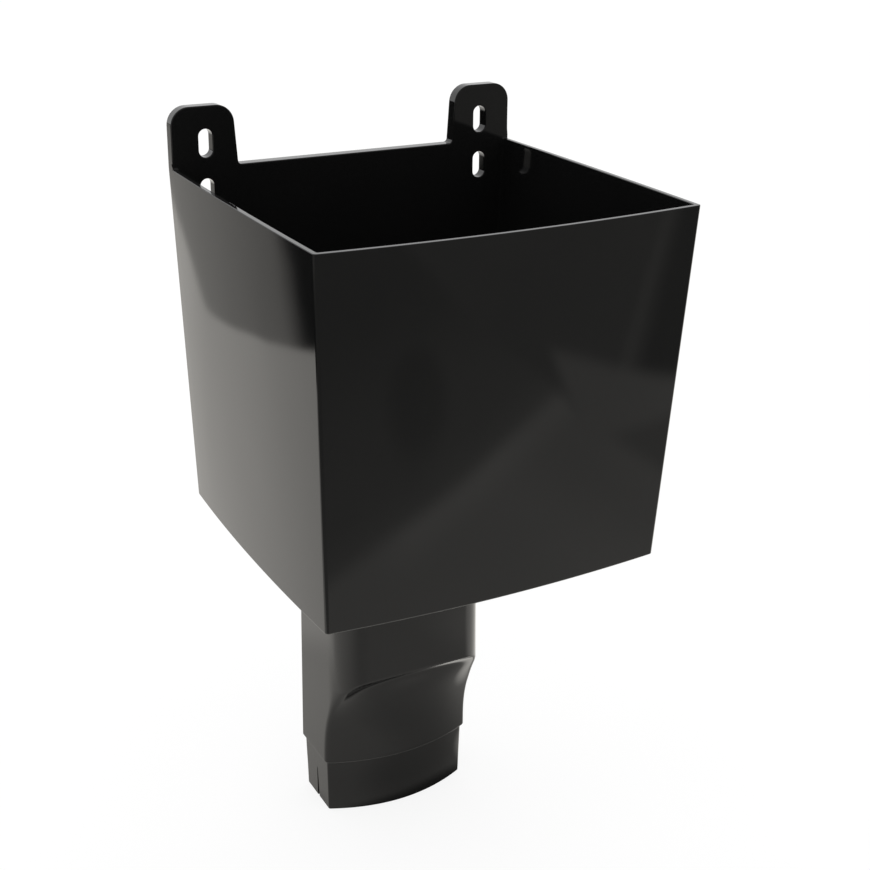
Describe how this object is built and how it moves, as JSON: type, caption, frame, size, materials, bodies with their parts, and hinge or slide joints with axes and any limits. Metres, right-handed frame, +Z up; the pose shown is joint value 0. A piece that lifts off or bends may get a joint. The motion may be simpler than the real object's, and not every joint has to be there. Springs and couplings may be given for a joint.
{
  "type": "downpipe hopper head",
  "caption": "Open-topped tapered box with slotted wall ears and a deep stepped outlet, collecting roof water and feeding it into an oval downpipe.",
  "frame": {"origin": "middle of the box's wall face: on the centre line, halfway between the rim and the base", "axes": "+X along the wall to the right as seen from the front, +Y into the wall, +Z up"},
  "size_m": [0.2026, 0.195, 0.4086],
  "materials": {
    "shell": "glossy black moulding"
  },
  "bodies": {
    "root": {"hopper_head": "shell"}
  },
  "joints": []
}
